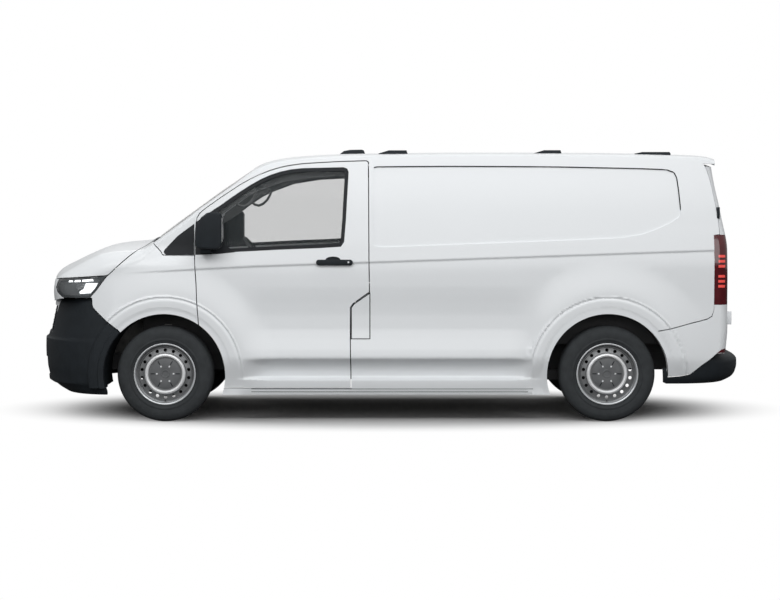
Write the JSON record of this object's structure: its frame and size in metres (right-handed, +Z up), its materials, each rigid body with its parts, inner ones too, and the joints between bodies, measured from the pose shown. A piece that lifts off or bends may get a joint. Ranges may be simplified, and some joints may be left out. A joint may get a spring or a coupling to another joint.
{
  "type": "panel van",
  "caption": "Panel van with hollow cab and load space, opening cab doors, rear wing doors, bonnet and fuel flap, and steered and rolling wheels.",
  "frame": {"origin": "on the ground under the middle of the van", "axes": "+X to the tail along the van's length, +Y to the right side, +Z up"},
  "size_m": [5.05, 2.264, 1.928],
  "materials": {
    "paint": "gloss white",
    "black_plastic": "grained",
    "glass": "clear tint",
    "lamp": "clear cover",
    "tail_lamp": "red cover",
    "tyre": "moulded",
    "rim": "silver",
    "steel": "satin",
    "iron": "as cast",
    "trim": "grained",
    "seat": "woven",
    "tank": "moulded"
  },
  "bodies": {
    "body": {"side_left": "paint", "side_right": "paint", "sliding_door": "paint", "roof": "paint", "wings": "paint", "fascia": "paint", "roof_fittings": "black_plastic", "front_bumper": "black_plastic", "rear_bumper": "black_plastic", "grille": "black_plastic", "cowl": "black_plastic", "headlamps": "lamp", "tail_lamps": "tail_lamp", "windscreen": "glass", "floor": "steel", "cab_walls": "steel", "front_liners": "black_plastic", "dashboard": "trim", "seats": "seat", "engine": "iron", "front_subframe": "steel", "rear_axle": "steel", "fuel_tank": "tank", "exhaust": "steel"},
    "cab_door_left": {"door_left": "paint", "door_glass_left": "glass", "door_trim_left": "black_plastic"},
    "cab_door_right": {"door_right": "paint", "door_glass_right": "glass", "door_trim_right": "black_plastic"},
    "rear_leaf_left": {"rear_door_left": "paint"},
    "rear_leaf_right": {"rear_door_right": "paint"},
    "bonnet_lid": {"bonnet": "paint"},
    "filler_flap": {"fuel_flap": "paint"},
    "hand_wheel": {"steering_wheel": "trim"},
    "steer_left": {"knuckle_left": "iron"},
    "steer_right": {"knuckle_right": "iron"},
    "wheel_front_left": {"tyre_front_left": "tyre", "rim_front_left": "rim"},
    "wheel_front_right": {"tyre_front_right": "tyre", "rim_front_right": "rim"},
    "wheel_rear_left": {"tyre_rear_left": "tyre", "rim_rear_left": "rim"},
    "wheel_rear_right": {"tyre_rear_right": "tyre", "rim_rear_right": "rim"}
  },
  "joints": [
    {"name": "cab_door_left_hinge", "type": "hinge", "parent": "body", "child": "cab_door_left", "pos_m": [-1.366, -1, 1], "axis": [0, 0, -1], "range_deg": [0, 70]},
    {"name": "cab_door_right_hinge", "type": "hinge", "parent": "body", "child": "cab_door_right", "pos_m": [-1.366, 1, 1], "axis": [0, 0, 1], "range_deg": [0, 70]},
    {"name": "rear_door_left_hinge", "type": "hinge", "parent": "body", "child": "rear_leaf_left", "pos_m": [2.405, -0.957, 1.1], "axis": [0, 0, -1], "range_deg": [0, 180]},
    {"name": "rear_door_right_hinge", "type": "hinge", "parent": "body", "child": "rear_leaf_right", "pos_m": [2.405, 0.957, 1.1], "axis": [0, 0, 1], "range_deg": [0, 180]},
    {"name": "bonnet_hinge", "type": "hinge", "parent": "body", "child": "bonnet_lid", "pos_m": [-1.688, 0, 1.292], "axis": [0, 1, 0], "range_deg": [0, 50]},
    {"name": "fuel_flap_hinge", "type": "hinge", "parent": "body", "child": "filler_flap", "pos_m": [-0.143, -0.98, 0.74], "axis": [0, 0, 1], "range_deg": [0, 85]},
    {"name": "steering_left", "type": "hinge", "parent": "body", "child": "steer_left", "pos_m": [-1.58, -0.79, 0.336], "axis": [0, 0, 1], "range_deg": [-35, 35]},
    {"name": "steering_right", "type": "hinge", "parent": "body", "child": "steer_right", "pos_m": [-1.58, 0.79, 0.336], "axis": [0, 0, 1], "range_deg": [-35, 35]},
    {"name": "steering_wheel_turn", "type": "hinge", "parent": "body", "child": "hand_wheel", "pos_m": [-0.96526, -0.4, 1.11484], "axis": [0.766, 0, 0.6428], "range_deg": [-500, 500]},
    {"name": "wheel_front_left_spin", "type": "hinge", "parent": "steer_left", "child": "wheel_front_left", "pos_m": [-1.58, -0.861, 0.336], "axis": [0, 1, 0], "continuous": true},
    {"name": "wheel_front_right_spin", "type": "hinge", "parent": "steer_right", "child": "wheel_front_right", "pos_m": [-1.58, 0.861, 0.336], "axis": [0, 1, 0], "continuous": true},
    {"name": "wheel_rear_left_spin", "type": "hinge", "parent": "body", "child": "wheel_rear_left", "pos_m": [1.52, -0.861, 0.336], "axis": [0, 1, 0], "continuous": true},
    {"name": "wheel_rear_right_spin", "type": "hinge", "parent": "body", "child": "wheel_rear_right", "pos_m": [1.52, 0.861, 0.336], "axis": [0, 1, 0], "continuous": true}
  ],
  "couplings": [
    {"joint": "steering_right", "follows": "steering_left", "ratio": 1},
    {"joint": "steering_wheel_turn", "follows": "steering_left", "ratio": 14}
  ]
}
